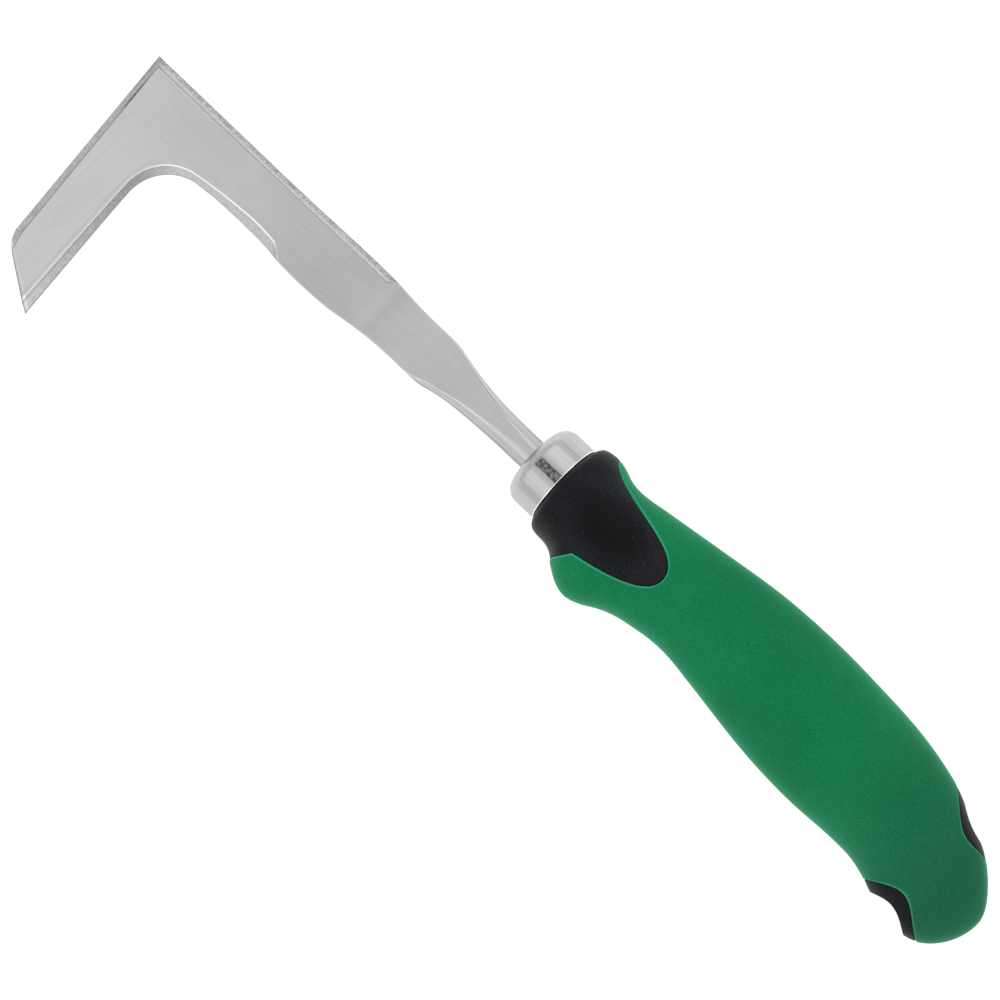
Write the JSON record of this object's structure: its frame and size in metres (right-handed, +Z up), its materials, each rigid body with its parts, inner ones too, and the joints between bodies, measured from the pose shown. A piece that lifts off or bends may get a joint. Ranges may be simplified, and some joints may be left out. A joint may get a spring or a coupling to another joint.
{
  "type": "hand weeder",
  "caption": "Hand cultivator for weeding cracks: flat L-shaped steel blade on a round shank, pressed ferrule, and a contoured two-colour soft-grip handle with a hang hole.",
  "frame": {"origin": "bottom centre of the bounding box, with the tool lying on its side", "axes": "+X along the shank towards the blade, +Y towards the finger side, where the claw points, +Z up across the flat blade"},
  "size_m": [0.3166, 0.0852, 0.0296],
  "materials": {
    "blade_steel": "satin stainless, fine grain along the blade, ground bevels with grain across the edge",
    "ferrule_steel": "polished stainless with fine lengthwise streaks",
    "core_plastic": "plain moulded black, hidden inside",
    "pin_steel": "plain drawn pin, hidden inside",
    "collar_black": "satin black with a very fine speckle",
    "grip_green": "matte green soft grip with a fine grain",
    "liner_black": "satin black"
  },
  "bodies": {
    "root": {"blade": "blade_steel", "ferrule": "ferrule_steel", "handle_core": "core_plastic", "tang_pin": "pin_steel", "front_collar": "collar_black", "grip_sleeve": "grip_green", "hang_hole_liner": "liner_black"}
  },
  "joints": []
}
